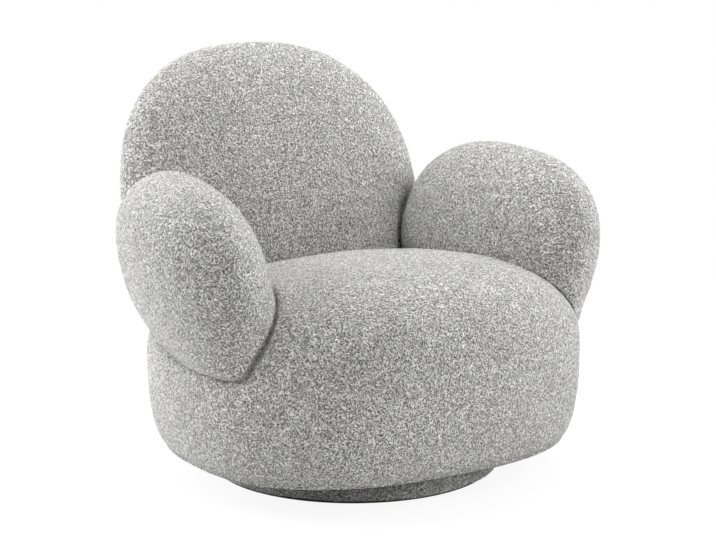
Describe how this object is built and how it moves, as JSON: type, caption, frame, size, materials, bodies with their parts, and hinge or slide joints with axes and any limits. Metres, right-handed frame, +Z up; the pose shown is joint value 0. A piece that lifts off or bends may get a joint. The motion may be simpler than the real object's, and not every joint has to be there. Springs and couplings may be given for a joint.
{
  "type": "tub chair",
  "caption": "Upholstered swivel tub chair: a rounded seat pod, two leaning pebble arms and a tall rounded back on a low round plinth.",
  "frame": {"origin": "on the swivel axis, at the floor that the felt ring rests on", "axes": "+Z up along the swivel axis; -Y the way the chair faces; +X to the sitter's left"},
  "size_m": [0.9656, 0.8372, 0.7985],
  "materials": {
    "boucle": "light grey boucle of cream, grey and dark grey loops",
    "foam": "moulded polyurethane foam",
    "felt": "dark grey needle felt",
    "dust_cloth": "black non-woven dust cloth",
    "plywood": "raw birch plywood",
    "beech": "raw planed beech",
    "steel": "zinc-plated steel",
    "bearing_steel": "polished bearing steel",
    "cage_plastic": "moulded nylon"
  },
  "bodies": {
    "plinth": {"glide_ring": "felt", "plinth_lower_board": "plywood", "plinth_upper_board": "plywood", "plinth_screws": "steel", "plinth_cover": "boucle", "swivel_lower_plate": "steel", "swivel_hub": "steel", "lower_plate_screws": "steel"},
    "ball_ring": {"swivel_balls": "bearing_steel", "ball_cage": "cage_plastic"},
    "seat": {"swivel_upper_plate": "steel", "upper_plate_screws": "steel", "base_board": "plywood", "front_rail": "beech", "rear_rail": "beech", "left_rail": "beech", "right_rail": "beech", "corner_blocks": "beech", "frame_screws": "steel", "seat_springs": "steel", "spring_clips": "steel", "spring_pad": "felt", "dust_cover": "dust_cloth", "seat_foam": "foam", "seat_cover": "boucle", "back_posts": "beech", "back_cross_rails": "beech", "back_panel": "plywood", "back_foam": "foam", "back_cover": "boucle", "left_arm_panel": "plywood", "right_arm_panel": "plywood", "left_arm_foam": "foam", "right_arm_foam": "foam", "left_arm_cover": "boucle", "right_arm_cover": "boucle", "frame_bolts": "steel", "tee_nuts": "steel"}
  },
  "joints": [
    {"name": "seat_swivel", "type": "hinge", "parent": "plinth", "child": "seat", "pos_m": [0, 0, 0.0545], "axis": [0, 0, 1], "continuous": true},
    {"name": "ball_ring_turn", "type": "hinge", "parent": "plinth", "child": "ball_ring", "pos_m": [0, 0, 0.0545], "axis": [0, 0, 1], "continuous": true}
  ],
  "couplings": [
    {"joint": "ball_ring_turn", "follows": "seat_swivel", "ratio": 0.5}
  ]
}
